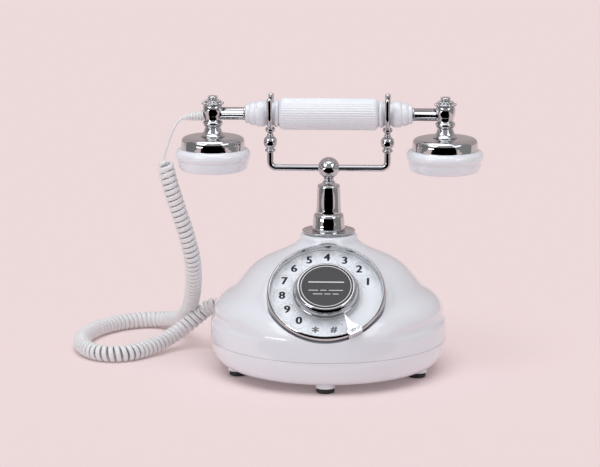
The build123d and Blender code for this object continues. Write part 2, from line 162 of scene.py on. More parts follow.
class Finish:
    """A material and the one way to add nodes to it."""

    def __init__(self, name, world=None):
        self.material = world or bpy.data.materials.new(name)
        self.material.use_nodes = True
        self.tree = self.material.node_tree
        self.shader = self.tree.nodes["Background" if world else "Principled BSDF"]

    def node(self, kind, settings=None, **inputs):
        """Add a node: its settings first, then the value or link of each socket, by name or number."""
        made = self.tree.nodes.new(kind)
        for key, value in (settings or {}).items():
            if key == "stops":
                ramp = made.color_ramp
                for i, (place, shade) in enumerate(value):
                    stop = ramp.elements[i] if i < 2 else ramp.elements.new(place)
                    stop.position, stop.color = place, tuple(shade) + (1.0,)
            else:
                setattr(made, key, value)
        self.feed(made, inputs)
        return [Wire(self, s) for s in made.outputs]

    def feed(self, made, inputs):
        for key, value in inputs.items():
            socket = made.inputs[int(key)] if key.isdigit() else made.inputs[key.replace("_", " ")]
            if isinstance(value, Wire):
                self.tree.links.new(value.socket, socket)
            else:
                socket.default_value = value

    def set(self, **inputs):
        self.feed(self.shader, inputs)
        return self

    def place(self, stretch=(1, 1, 1)):
        """Object coordinates, stretched."""
        spot = self.node("ShaderNodeTexCoord")[3]
        return self.node("ShaderNodeMapping", None, Vector=spot, Scale=stretch)[0]

    def noise(self, scale, detail=3.0, roughness=0.55, stretch=(1, 1, 1)):
        return self.node("ShaderNodeTexNoise", None, Vector=self.place(stretch), Scale=scale, Detail=detail,
                         Roughness=roughness)[0]

    def between(self, amount, dark, light):
        """Blend two colours by an amount."""
        return self.node("ShaderNodeMix", {"data_type": "RGBA"},
                         **{"0": amount, "6": dark + (1,), "7": light + (1,)})[2]

    def bump(self, height, depth, strength=1.0):
        return self.node("ShaderNodeBump", None, Height=height, Distance=depth, Strength=strength)[0]


def tint(colour, factor):
    return tuple(min(1.0, c * factor) for c in colour)


FINISHES = {}


def gloss_plastic():
    made = Finish("white_gloss_plastic")
    white = tuple(colours().white)
    mottle, grain = made.noise(38, 4), made.noise(900, 2)
    made.set(Base_Color=made.between(mottle, tint(white, 0.965), tint(white, 1.02)),
             Roughness=mottle * 0.06 + grain * 0.04 + 0.12,
             Normal=made.bump(made.noise(160, 2) * 0.7 + grain * 0.3, 0.000012))
    made.set(Coat_Weight=0.6, Coat_Roughness=0.02, IOR=1.5)
    return made


def chrome_plate():
    made = Finish("chrome_plate")
    base = tuple(colours().chrome)
    haze = made.noise(55, 5)
    scuff = made.noise(420, 3, stretch=(1, 1, 0.12))
    made.set(Base_Color=made.between(haze, tint(base, 0.94), tint(base, 1.04)),
             Metallic=1.0, Roughness=haze * 0.05 + scuff * 0.04 + 0.02,
             Normal=made.bump(scuff, 0.000012))
    return made


def rubber():
    made = Finish("pad_rubber")
    speck = made.noise(700, 4)
    made.set(Base_Color=made.between(speck, (0.012, 0.012, 0.012), (0.035, 0.034, 0.033)), Roughness=speck * 0.25
             + 0.62,
             Normal=made.bump(speck, 0.00012))
    return made


def label_black():
    made = Finish("label_black")
    base = tuple(colours().label)
    grain = made.noise(600, 3)
    made.set(Base_Color=made.between(grain, tint(base, 0.9), tint(base, 1.15)), Roughness=grain * 0.05 + 0.22,
             Normal=made.bump(grain, 0.000003))
    made.set(Coat_Weight=0.1, Coat_Roughness=0.05, Specular_IOR_Level=0.3)
    return made


def print_ink(name, shade):
    made = Finish(name)
    grain = made.noise(1400, 3)
    made.set(Base_Color=made.between(grain, tint(shade, 0.86), tint(shade, 1.1)), Roughness=grain * 0.2 + 0.45,
             Normal=made.bump(grain, 0.000003))
    made.set(Specular_IOR_Level=0.25)
    return made


def clear_acrylic():
    made = Finish("clear_acrylic")
    edge = made.node("ShaderNodeLayerWeight", None, Blend=0.35)[1]
    smear = made.noise(90, 4)
    made.set(Base_Color=(0.93, 0.95, 0.97, 1), Roughness=smear * 0.06 + 0.02, Alpha=edge * 0.5 + 0.06)
    made.set(IOR=1.49, Specular_IOR_Level=0.9)
    return made


def brushed_metal(name, shade):
    made = Finish(name)
    lines = made.noise(260, 4, stretch=(1, 9, 1))
    made.set(Base_Color=made.between(lines, tint(shade, 0.8), tint(shade, 1.15)), Metallic=1.0,
             Roughness=lines * 0.2 + 0.22, Normal=made.bump(lines, 0.00003))
    return made


def circuit_green():
    made = Finish("circuit_green")
    tracks = made.noise(300, 1)
    made.set(Base_Color=made.between(tracks, (0.01, 0.10, 0.035), (0.03, 0.26, 0.10)), Roughness=tracks * 0.2
             + 0.3,
             Normal=made.bump(tracks, 0.00004))
    return made


def moulded(name, shade):
    made = Finish(name)
    grain = made.noise(1100, 3)
    made.set(Base_Color=made.between(grain, tint(shade, 0.85), tint(shade, 1.1)), Roughness=grain * 0.18 + 0.38,
             Normal=made.bump(grain, 0.00005))
    return made


def cord_jacket():
    made = Finish("cord_jacket")
    base = tuple(colours().cord)
    grime, grain = made.noise(45, 4), made.noise(1500, 2)
    made.set(Base_Color=made.between(grime, tint(base, 0.9), tint(base, 1.05)), Roughness=grain * 0.12
             + grime * 0.08 + 0.22,
             Normal=made.bump(grain, 0.00002))
    return made


def finish(name):
    """Make each finish once, when it is first asked for."""
    makers = {
        "white": gloss_plastic, "chrome": chrome_plate, "rubber": rubber, "label": label_black,
        "ink": lambda: print_ink("digit_ink", (0.012, 0.012, 0.014)),
        "grey_ink": lambda: print_ink("sign_ink", (0.16, 0.16, 0.17)),
        "pale_ink": lambda: print_ink("pale_ink", (0.72, 0.72, 0.74)),
        "acrylic": clear_acrylic, "steel": lambda: brushed_metal("brushed_steel", (0.52, 0.52, 0.54)),
        "brass": lambda: brushed_metal("machined_brass", (0.70, 0.50, 0.22)), "board": circuit_green,
        "dark": lambda: moulded("dark_moulding", (0.035, 0.035, 0.038)),
        "switch": lambda: moulded("switch_moulding", (0.62, 0.62, 0.64)), "cord": cord_jacket,
    }
    if name not in FINISHES:
        FINISHES[name] = makers[name]().material
    return FINISHES[name]


SLOT_FINISH = {"white_plastic": "white", "chrome": "chrome", "rubber_pad": "rubber", "label": "label",
               "clear_acrylic": "acrylic",
               "steel": "steel", "brass_gear": "brass", "circuit_board": "board", "dark_plastic": "dark",
               "switch_plastic": "switch", "cord_plastic": "cord"}


# ------------------------------------------------------------------ ways of making a piece
def leave_edit():
    if bpy.context.object and bpy.context.object.mode != "OBJECT":
        bpy.ops.object.mode_set(mode="OBJECT")
    bpy.ops.object.select_all(action="DESELECT")


def pick(piece):
    leave_edit()
    piece.select_set(True)
    bpy.context.view_layer.objects.active = piece


def whole(piece):
    pick(piece)
    bpy.ops.object.mode_set(mode="EDIT")
    bpy.ops.mesh.select_all(action="SELECT")


def smoothed(piece, angle):
    """Shade a piece smooth, apart from edges sharper than the angle in degrees."""
    pick(piece)
    bpy.ops.object.shade_smooth_by_angle(angle=radians(angle))


def set_down(piece, place):
    """Move a finished piece and put its place into its mesh."""
    pick(piece)
    piece.matrix_world = place @ piece.matrix_world
    bpy.ops.object.transform_apply(location=True, rotation=True, scale=True)


def dress(piece, name, body, look, stands_for=()):
    """Name a finished piece, give it its finish and let it ride on its body, if it has only one."""
    piece.name = piece.data.name = name
    piece.data.materials.clear()
    piece.data.materials.append(finish(look))
    if body:
        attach(piece, body)
    if stands_for:
        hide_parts(*stands_for)
    return piece


def plated(piece, name, body, node):
    dress(piece, name, body, "chrome", (node,))


def drawn(outline, closed):
    """Draw an outline of (across, up) points in millimetres as a curve; a third item marks a corner."""
    leave_edit()
    bpy.ops.curve.primitive_bezier_curve_add(radius=1, location=(0, 0, 0))
    curve = bpy.context.object
    line = curve.data.splines[0]
    line.bezier_points.add(len(outline) - 2)
    line.use_cyclic_u = closed
    for knot, point in zip(line.bezier_points, outline):
        kind = "VECTOR" if len(point) > 2 else "AUTO"
        knot.co = (point[0] * MM, 0, point[1] * MM)
        knot.handle_left_type = knot.handle_right_type = kind
    curve.data.resolution_u = 7
    return curve


def turned(outline, place=Matrix(), steps=None, closed=False, sharp=38, axis=(0, 0, 1), scale=1.0, sweep=tau):
    """Spin an outline of (radius, height) into a closed solid. Both ends lie on the axis, or it is closed."""
    drawn([(p[0] * scale, *p[1:]) for p in outline], closed)
    bpy.ops.object.convert(target="MESH")
    piece = bpy.context.object
    whole(piece)
    bpy.ops.mesh.spin(steps=steps or sizes().lathe_steps, angle=sweep, center=(0, 0, 0), axis=axis)
    bpy.ops.mesh.select_all(action="SELECT")
    if sweep < tau:
        bpy.ops.mesh.fill_holes(sides=0)
    bpy.ops.mesh.remove_doubles(threshold=2e-6)
    bpy.ops.mesh.dissolve_degenerate(threshold=1e-7)
    bpy.ops.mesh.normals_make_consistent(inside=False)
    smoothed(piece, sharp)
    set_down(piece, place)
    return piece


def bent_rod(points, radius, end=None, corner=None, resolution=10):
    """A round rod along points in metres; the ones listed in corner are smooth bends."""
    leave_edit()
    bpy.ops.curve.primitive_bezier_curve_add(radius=1, location=(0, 0, 0))
    curve = bpy.context.object
    line = curve.data.splines[0]
    line.bezier_points.add(len(points) - 2)
    for i, (knot, point) in enumerate(zip(line.bezier_points, points)):
        knot.co = point
        knot.handle_left_type = knot.handle_right_type = "AUTO" if corner and i in corner else "VECTOR"
        knot.radius = 1.0 if end is None or 0 < i < len(points) - 1 else end
    curve.data.resolution_u = resolution
    curve.data.bevel_depth = radius
    curve.data.bevel_resolution = 7
    curve.data.use_fill_caps = True
    bpy.ops.object.convert(target="MESH")
    rod = bpy.context.object
    whole(rod)
    bpy.ops.mesh.remove_doubles(threshold=1e-6)
    bpy.ops.mesh.normals_make_consistent(inside=False)
    smoothed(rod, 50)
    return rod


def modified(piece, kind, **settings):
    """Add a modifier and apply it."""
    pick(piece)
    made = piece.modifiers.new(kind.lower(), kind)
    for key, value in settings.items():
        setattr(made, key, value)
    bpy.ops.object.modifier_apply(modifier=made.name)
    return piece


def carved(piece, tool, operation="DIFFERENCE"):
    """Cut a tool out of a piece, or weld it on, and throw the tool away."""
    modified(piece, "BOOLEAN", object=tool, operation=operation, solver="EXACT")
    bpy.data.objects.remove(tool)
    return piece


def joined(pieces):
    leave_edit()
    for piece in pieces:
        piece.select_set(True)
    bpy.context.view_layer.objects.active = pieces[0]
    bpy.ops.object.join()
    return bpy.context.object


def from_mm(points):
    return [tuple(v * MM for v in p) for p in points]


# ------------------------------------------------------------------ stage and camera
class PHONE_OT_stage(bpy.types.Operator):
    """Lay the floor, light the studio and set the camera"""
    bl_idname = "phone.stage"
    bl_label = "Stage"

    def execute(self, context):
        aside, on_paper = self.lay_floor()
        self.hang_air()
        cool_white, sky_slope = (0.95, 0.98, 1.0), Vector((0.0, 0.42, -1))
        for name, spot, aim, across, up, power in (
                ("top_softbox", (-0.15, -0.1, 1.55), (0, 0, 0.1), 1.5, 1.1, 10.0),
                ("left_softbox", (-1.15, -1.05, 1.15), (0, 0, 0.12), 1.1, 1.0, 8.5),
                ("right_softbox", (1.2, -0.95, 1.05), (0, 0, 0.12), 0.9, 1.0, 6.4),
                ("side_strip", (-0.85, -0.77, 0.13), (-0.043, -0.084, 0.046), 0.44, 0.06, 0.9)):
            leave_edit()
            bpy.ops.object.light_add(type="AREA", location=spot)
            lamp = context.object
            lamp.name = name
            lamp.data.shape, lamp.data.size, lamp.data.size_y = "RECTANGLE", across, up
            lamp.data.energy, lamp.data.color = power, cool_white
            lamp.light_linking.receiver_collection = aside
            lamp.rotation_euler = (Vector(aim) - Vector(spot)).to_track_quat("-Z", "Y").to_euler()
        leave_edit()
        bpy.ops.object.light_add(type="SUN", location=(0, -0.8, 2.0))
        sky = context.object
        sky.name = "soft_sky"
        sky.light_linking.receiver_collection = on_paper
        sky.data.energy, sky.data.angle = 1.2, radians(48)
        sky.rotation_euler = sky_slope.to_track_quat("-Z", "Y").to_euler()
        for name, corners, glow in (
                ("front_shade", ((-0.3, -0.14, 0.002), (0.3, -0.14, 0.002), (2.1, -2.6, 0.002),
                                 (-2.1, -2.6, 0.002)), 0.0),
                ("far_shade", ((-2.1, -2.6, 0), (2.1, -2.6, 0), (2.1, -2.6, 0.62), (-2.1, -2.6, 0.62)), 0.0),
                ("left_card", ((-1.9, -2.5, 0), (-0.70, 0.20, 0), (-0.70, 0.20, 0.8), (-1.9, -2.5, 0.8)), 0.24),
                ("right_card", ((1.9, -2.5, 0), (0.62, 0.12, 0), (0.62, 0.12, 0.8), (1.9, -2.5, 0.8)), 0.30)):
            self.stand_card(name, corners, glow)

        leave_edit()
        turn, lift, away = radians(2.35), radians(11.8), 2.32
        aim = Vector((-0.0229, -0.0009, 0.1112))
        back = Vector((sin(turn) * cos(lift), -cos(turn) * cos(lift), sin(lift)))
        bpy.ops.object.camera_add(location=aim + back * away)
        camera = context.object
        camera.rotation_euler = (-back).to_track_quat("-Z", "Y").to_euler()
        camera.data.sensor_width, camera.data.lens = 36.0, 174.0
        camera.data.clip_end = 60
        context.scene.camera = camera
        context.scene.view_settings.view_transform = "Standard"
        return {"FINISHED"}

    def lay_floor(self):
        """One wide sheet of paper. The softboxes pass it by, so that the air and the sky light it evenly."""
        leave_edit()
        shade = tuple(colours().backdrop)
        bpy.ops.mesh.primitive_plane_add(size=24, location=(0, 0, 0))
        floor = bpy.context.object
        floor.name = "studio_floor"
        paper = Finish("studio_paper")
        fibre = paper.noise(30, 3)
        paper.set(Base_Color=paper.between(fibre, tint(shade, 1.148), tint(shade, 1.152)), Roughness=0.9,
                  Emission_Color=shade + (1,), Emission_Strength=0.09, Specular_IOR_Level=0.0)
        floor.data.materials.append(paper.material)
        aside = bpy.data.collections.new("passed_by_the_softboxes")
        aside.objects.link(floor)
        for kept in aside.collection_objects:
            kept.light_linking.link_state = "EXCLUDE"
        on_paper = bpy.data.collections.new("lit_by_the_sky")
        on_paper.objects.link(floor)
        return aside, on_paper

    def hang_air(self):
        """Soft air all round: neutral in front, the paper's tone behind."""
        world = bpy.data.worlds.new("studio_air")
        bpy.context.scene.world = world
        air = Finish("studio_air", world)
        toward = air.node("ShaderNodeSeparateXYZ", None, Vector=air.node("ShaderNodeTexCoord")[0])[1]
        back = air.node("ShaderNodeMapRange", None, Value=toward, From_Min=-0.15, From_Max=0.35)[0]
        air.set(Color=air.between(back, (0.62, 0.62, 0.64), tuple(colours().backdrop)), Strength=0.62)

    def stand_card(self, name, corners, glow):
        """A shade or reflector that only shows in polished metal and gloss."""
        leave_edit()
        bpy.ops.mesh.primitive_plane_add(size=1, location=(0, 0, 0))
        card = bpy.context.object
        for v, corner in zip(card.data.vertices, (corners[0], corners[1], corners[3], corners[2])):
            v.co = corner
        card.name = name
        look = Finish(name)
        look.set(Base_Color=(0, 0, 0, 1), Specular_IOR_Level=0.0, Roughness=1.0,
                 Emission_Color=(1, 1, 1, 1), Emission_Strength=glow)
        card.data.materials.append(look.material)
        card.visible_camera = card.visible_diffuse = card.visible_shadow = card.visible_transmission = False


# ------------------------------------------------------------------ cord
UPPER_LEAD = [(-116.6, -0.6, 204.3), (-120.5, -2.0, 201.5), (-124.4, -4.0, 194.0), (-128.0, -5.6, 184.0),
              (-131.6, -7.0, 172.0)]
CURL = [
    (-129.5, -8.0, 166.5), (-126.5, -7.0, 152.0), (-120.5, -3.0, 131.0), (-113.5, 2.0, 107.0),
    (-109.0, 12.0, 82.0), (-112.0, 40.0, 52.0), (-121.0, 88.0, 22.0), (-136.0, 128.0, 8.5),
    (-160.0, 136.0, 6.9), (-188.0, 118.0, 6.9), (-206.0, 84.0, 6.9), (-207.0, 44.0, 6.9), (-190.0, 14.0, 6.9),
    (-166.0, 12.0, 6.9), (-147.0, 34.0, 7.2), (-131.0, 55.0, 12.0), (-116.0, 62.0, 22.5), (-103.0, 63.5, 33.5)
]
LOWER_LEAD = [(-102.6, 63.5, 33.8), (-96.5, 62.7, 36.6), (-88.7, 59.8, 37.0), (-80.0, 54.0, 37.0)]


def smooth_line(points):
    """Evenly read the NURBS line that runs through a route's points, in metres."""
    leave_edit()
    data = bpy.data.curves.new("route", "CURVE")
    data.dimensions, data.resolution_u = "3D", 24
    line = data.splines.new("NURBS")
    line.points.add(len(points) - 1)
    for knot, point in zip(line.points, points):
        knot.co = (*point, 1.0)
    line.order_u, line.use_endpoint_u = 3, True
    route = bpy.data.objects.new("route", data)
    bpy.context.collection.objects.link(route)
    mesh = bpy.data.meshes.new_from_object(route)
    found = [v.co.copy() for v in mesh.vertices]
    bpy.data.objects.remove(route)
    return found


def walk(line):
    """Distance of each point of a line from its start."""
    far = [0.0]
    for a, b in zip(line, line[1:]):
        far.append(far[-1] + (b - a).length)
    return far


def at(line, far, distance):
    """Point and direction at a distance along a line."""
    distance = min(max(distance, 0.0), far[-1])
    i = next((k for k in range(1, len(far)) if far[k] >= distance), len(far) - 1)
    part = (distance - far[i - 1]) / max(far[i] - far[i - 1], 1e-9)
    return line[i - 1].lerp(line[i], part), (line[i] - line[i - 1]).normalized()


class PHONE_OT_cord(bpy.types.Operator):
    """Wind the flat cord: a lead, the curl and a lead into its plug"""
    bl_idname = "phone.cord"
    bl_label = "Curly cord"

    def execute(self, context):
        s = sizes()
        run = smooth_line(from_mm(UPPER_LEAD + CURL + LOWER_LEAD))
        far = walk(run)
        first, last = (far[min(range(len(run)), key=lambda i: (run[i] - Vector(end)).length)]
                       for end in (from_mm(UPPER_LEAD)[-1], from_mm(LOWER_LEAD)[2]))
        turns = round((last - first) / s.curl_pitch)
        middle_radius = s.curl_radius - s.ribbon_thick / 2
        ease, steps, lead_steps, tail_steps = 0.006, 16, 30, 24
        wound = lead_steps + turns * steps
        side = Vector((0, 1, 0))
        path, rings = [], []
        before = None
        for i in range(wound + tail_steps + 1):
            if i < lead_steps:
                distance, swing = first * i / lead_steps, 0.0
            elif i <= wound:
                swing = tau * (i - lead_steps) / steps
                distance = first + (last - first) * (i - lead_steps) / (turns * steps)
            else:
                swing = tau * turns
                distance = last + (far[-1] - last) * (i - wound) / tail_steps
            centre, ahead = at(run, far, distance)
            if before is not None:
                side = before.rotation_difference(ahead) @ side
            side = (side - ahead * side.dot(ahead)).normalized()
            before = ahead
            grow = min(1.0, max(0.0, (distance - first) / ease), max(0.0, (last - distance) / ease))
            grow = grow * grow * (3 - 2 * grow)
            out = Quaternion(ahead, swing) @ side
            path.append(centre + out * middle_radius * grow)
            rings.append((out, grow))
        ribbon = self.sweep(path, rings, s.ribbon_width / 2, s.ribbon_thick / 2)
        length = walk(path)[-1]
        dress(ribbon, "curly_cord", None, "cord",
              ("cord_upper_lead", "cord_curl", "cord_lower_lead"))
        tuple(from_mm(CURL)[4])
        tuple(from_mm(CURL)[0])
        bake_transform(ribbon)
        return {"FINISHED"}

    def sweep(self, path, rings, half_wide, half_thick):
        """Sweep a rounded flat section along the path, its width along the curl's axis; the leads are round."""
        corners, lead_radius, squareness = 10, 1.0 * MM, 3.2
        verts, faces = [], []
        for i, (spot, (out, grow)) in enumerate(zip(path, rings)):
            along = (path[min(i + 1, len(path) - 1)] - path[max(i - 1, 0)]).normalized()
            thick = (out - along * out.dot(along)).normalized()
            wide = along.cross(thick)
            for k in range(corners):
                a = tau * k / corners
                x, y = cos(a), sin(a)
                fat = (abs(x) ** squareness + abs(y) ** squareness) ** (-1 / squareness)
                reach_x, reach_y = (lead_radius + (half - lead_radius) * grow for half in (half_wide, half_thick))
                verts.append(spot + wide * (x * fat * reach_x) + thick * (y * fat * reach_y))
        for i in range(len(path) - 1):
            for k in range(corners):
                a, b = i * corners + k, i * corners + (k + 1) % corners
                faces.append((a, b, b + corners, a + corners))
        faces.append(tuple(reversed(range(corners))))
        faces.append(tuple(range((len(path) - 1) * corners, len(path) * corners)))
        data = bpy.data.meshes.new("curly_cord")
        data.from_pydata(verts, [], faces)
        piece = bpy.data.objects.new("curly_cord", data)
        bpy.context.collection.objects.link(piece)
        whole(piece)
        bpy.ops.mesh.normals_make_consistent(inside=False)
        smoothed(piece, 60)
        return piece


# ------------------------------------------------------------------ base
DOME = [
    (0, 19, 1), (93.6, 19, 1), (94.8, 30), (94.7, 38), (94.2, 46), (92.0, 52), (88.2, 58.4), (83.0, 62.8),
    (76.6, 67.4), (69.4, 75.8), (62.0, 84.0), (54.0, 89.7), (44.0, 94.5), (33.6, 99.4), (27.2, 103.2),
    (24.0, 106.6), (23.3, 109.2), (22.7, 111.0), (21.2, 112.2), (19.4, 112.4, 1), (0, 112.4, 1)
]
INSIDE = [
    (0, 6, 1), (92.3, 6, 1), (92.2, 30), (91.2, 44), (86.0, 55.5), (74.6, 64.0), (60.0, 80.3), (43.0, 90.3),
    (32.0, 95.6), (24.5, 100.5), (19.5, 106, 1), (19.0, 109, 1), (0, 109, 1)
]
SEAT = [(0, -3.0, 1), (47.6, -3.0), (49.4, -3.4), (51.4, -5.4), (56.0, -10.6), (61.0, -16.5, 1), (0, -16.5, 1)]
SEAT_RING = [(30, -7, 1), (30, -2.0, 1), (50, -2.0, 1), (62, -16.5, 1), (57.5, -16.5, 1), (47.5, -7, 1)]
WELL = [
    (0, -9, 1), (38, -9, 1), (38, -4.5, 1), (46.8, -4.5, 1), (46.8, -3.1, 1), (47.2, -2.8), (48.0, -2.6, 1),
    (48.0, 34, 1), (0, 34, 1)
]


class PHONE_OT_base_shell(bpy.types.Operator):
    """Mould the domed shell: blend the dial's seat into the dome, press in the side crease, then hollow it"""
    bl_idname = "phone.base_shell"
    bl_label = "Base shell"

    def execute(self, context):
        shell = turned(DOME, steps=160)
        carved(shell, turned(SEAT, DIAL_PLACE), "UNION")
        carved(shell, self.crease())
        modified(shell, "REMESH", mode="VOXEL", voxel_size=1.15 * MM)
        modified(shell, "SMOOTH", factor=0.5, iterations=14)
        hollow = turned(INSIDE)
        carved(hollow, turned(SEAT_RING, DIAL_PLACE, closed=True))
        carved(shell, hollow)
        carved(shell, turned(WELL, DIAL_PLACE, steps=180))
        carved(shell, turned([(0, 100, 1), (18.8, 100, 1), (18.8, 130, 1), (0, 130, 1)]))
        carved(shell, self.jack_cutter())
        whole(shell)
        bpy.ops.mesh.bisect(plane_co=(0, 0, low("base_shell").z + 0.2 * MM), plane_no=(0, 0, 1),
                            clear_inner=True, use_fill=True)
        smoothed(shell, 32)
        dress(shell, "base_shell_moulding", "base", "white", ("base_shell",))
        return {"FINISHED"}

    def crease(self):
        """A tube that bites into the dome's hip and leaves it towards the front."""
        points, reach = [], 153
        for i in range(73):
            turn = reach * (i / 36 - 1)
            fade = max(0.0, (abs(turn) - (reach - 26)) / 26)
            away = 99.3 + 4.0 * fade * fade
            spot = radians(90 + turn)
            points.append((away * cos(spot) * MM, away * sin(spot) * MM, (48.4 - 2.5 * fade) * MM))
        return bent_rod(points, 8.0 * MM)

    def jack_cutter(self):
        box = middle("handset_jack")
        leave_edit()
        bpy.ops.mesh.primitive_cube_add(size=1, location=box, rotation=(0, 0, atan2(box.y, box.x)))
        cutter = bpy.context.object
        cutter.scale = (26 * MM, 14.2 * MM, 12.2 * MM)
        return cutter


class PHONE_OT_feet(bpy.types.Operator):
    """Press the round pads under the base"""
    bl_idname = "phone.feet"
    bl_label = "Feet"

    def execute(self, context):
        pads = []
        for i in range(5):
            turn = radians(-90 + 72 * i)
            pads.append(turned([
                (0, 0, 1), (5.4, 0), (6.5, 0.3), (7.0, 1.0), (7.0, 3.4), (6.8, 4.0), (6.4, 4.2, 1), (0, 4.2, 1)
            ], Matrix.Translation((75 * MM * cos(turn), 75 * MM * sin(turn), 0)), steps=48))
        dress(joined(pads), "foot_pad_set", "base", "rubber", ("foot_pads",))
        return {"FINISHED"}


# ------------------------------------------------------------------ column and cradle
class PHONE_OT_column(bpy.types.Operator):
    """Turn the dished flange and the two steps of the column"""
    bl_idname = "phone.column"
    bl_label = "Column"

    def execute(self, context):
        flange = turned([
            (6.2, 108.6, 1), (18.6, 108.6, 1), (18.6, 111.8), (20.3, 112.7), (21.3, 114.0), (20.9, 114.5),
            (19.4, 113.8), (16.6, 113.0), (13.4, 112.8, 1), (13.4, 114.4, 1), (6.2, 114.4, 1)
        ], closed=True)
        plated(flange, "column_dish", "base", "column_flange")
        lower = turned([
            (2.56, 92, 1), (6.0, 92, 1), (6.0, 114.6, 1), (12.8, 114.6), (13.05, 115.2), (12.7, 119.0),
            (12.25, 124.4), (11.9, 126.2), (11.2, 127.4), (10.3, 127.95), (9.6, 128, 1), (6.2, 128, 1),
            (6.2, 116.5, 1), (2.56, 116.5, 1)
        ], closed=True)
        plated(lower, "column_lower_step", "base", "column_lower")
        upper = turned([
            (6.2, 128, 1), (9.7, 128, 1), (9.9, 128.6), (9.7, 133), (9.1, 148.6), (8.9, 150.2), (8.3, 151.1),
            (7.6, 151.2, 1), (2.56, 151.2, 1), (2.56, 146.5, 1), (6.2, 146.5, 1)
        ], closed=True)
        plated(upper, "column_upper_step", "base", "column_upper")
        return {"FINISHED"}


BAR_Z, POST_X = 164.6, 46.6


class PHONE_OT_cradle(bpy.types.Operator):
    """Make the cradle: spool, ball, bent crossbars, turned posts and forks"""
    bl_idname = "phone.cradle"
    bl_label = "Cradle"

    def execute(self, context):
        spool = turned([
            (0, 84, 1), (2.5, 84, 1), (2.5, 131, 1), (5.4, 131, 1), (5.4, 134, 1), (2.5, 134, 1),
            (2.5, 152.2, 1), (4.6, 152.2), (5.2, 152.8), (4.9, 153.6), (3.9, 154.4), (3.5, 155.1), (4.1, 155.6),
            (4.1, 156.1), (3.5, 156.6), (4.2, 157.4), (4.8, 158.4), (4.2, 159.2, 1), (0, 159.2, 1)
        ], steps=64)
        plated(spool, "plunger_spool", "cradle", "plunger")
        leave_edit()
        bpy.ops.mesh.primitive_uv_sphere_add(segments=72, ring_count=36, radius=8.7 * MM,
                                             location=(0, 0, BAR_Z * MM))
        ball = modified(context.object, "SUBSURF", levels=1, render_levels=1)
        pick(ball)
        bpy.ops.object.shade_smooth()
        bpy.ops.object.transform_apply(location=True, rotation=True, scale=True)
        plated(ball, "cradle_centre_ball", "cradle", "cradle_ball")
        for side, word in ((-1, "left"), (1, "right")):
            bend = 4.8
            run = [(side * 2.0, 0, BAR_Z)]
            for i in range(13):
                turn = radians(90 * i / 12)
                run.append((side * (POST_X - bend + bend * sin(turn)), 0, BAR_Z + bend - bend * cos(turn)))
            run.append((side * POST_X, 0, 178.2))
            bar = bent_rod(from_mm(run), 2.65 * MM)
            plated(bar, f"crossbar_rod_{word}", "cradle", f"crossbar_{word}")
            post = turned([
                (0, 177.2, 1), (3.2, 177.2), (3.9, 177.6), (4.3, 178.6), (3.9, 179.6), (3.1, 180.1),
                (3.1, 180.7), (3.6, 181.0), (4.7, 182.2), (5.4, 185.2), (4.7, 188.2), (3.4, 189.5),
                (2.8, 190.1), (2.8, 190.8), (2.2, 191.8), (2.2, 192.6), (3.1, 193.4), (3.9, 194.6),
                (4.0, 195.7), (3.3, 196.9), (2.4, 197.6), (2.0, 197.9, 1), (0, 197.9, 1)
            ], Matrix.Translation((side * POST_X * MM, 0, 0)), steps=56)
            plated(post, f"post_turning_{word}", "cradle", f"post_{word}")
            plated(self.fork(side * POST_X), f"fork_rod_{word}", "cradle", f"fork_{word}")
        return {"FINISHED"}

    def fork(self, x):
        """A rod bent into a deep U, with rounded tips, on a short stem."""
        round_r, mid = 12.9, 210.15
        run = [(x, 14.1, 220.2), (x, 13.6, 216.0), (x, 13.1, 212.6)]
        for i in range(25):
            turn = radians(180 * i / 24)
            run.append((x, round_r * cos(turn), mid - round_r * sin(turn)))
        run += [(x, -13.1, 212.6), (x, -13.6, 216.0), (x, -14.1, 220.2)]
        rod = bent_rod(from_mm(run), 2.25 * MM)
        parts = [rod]
        for y in (14.1, -14.1):
            leave_edit()
            bpy.ops.mesh.primitive_uv_sphere_add(segments=32, ring_count=20, radius=2.34 * MM,
                                                 location=(x * MM, y * MM, 220.2 * MM))
            bpy.ops.object.shade_smooth()
            parts.append(bpy.context.object)
        stem = turned([(0, 196.6, 1), (2.2, 196.6, 1), (2.0, 197.6), (2.3, 198.6, 1), (0, 198.6, 1)],
                      Matrix.Translation((x * MM, 0, 0)), steps=32)
        return joined(parts + [stem])


# ------------------------------------------------------------------ handset
AXIS = Matrix.Translation((0, 0, 208 * MM))
GRIP_HALF, GRIP_R = 39.7, 12.8
END_X, EAR_SCALE = 92.3, 1.027


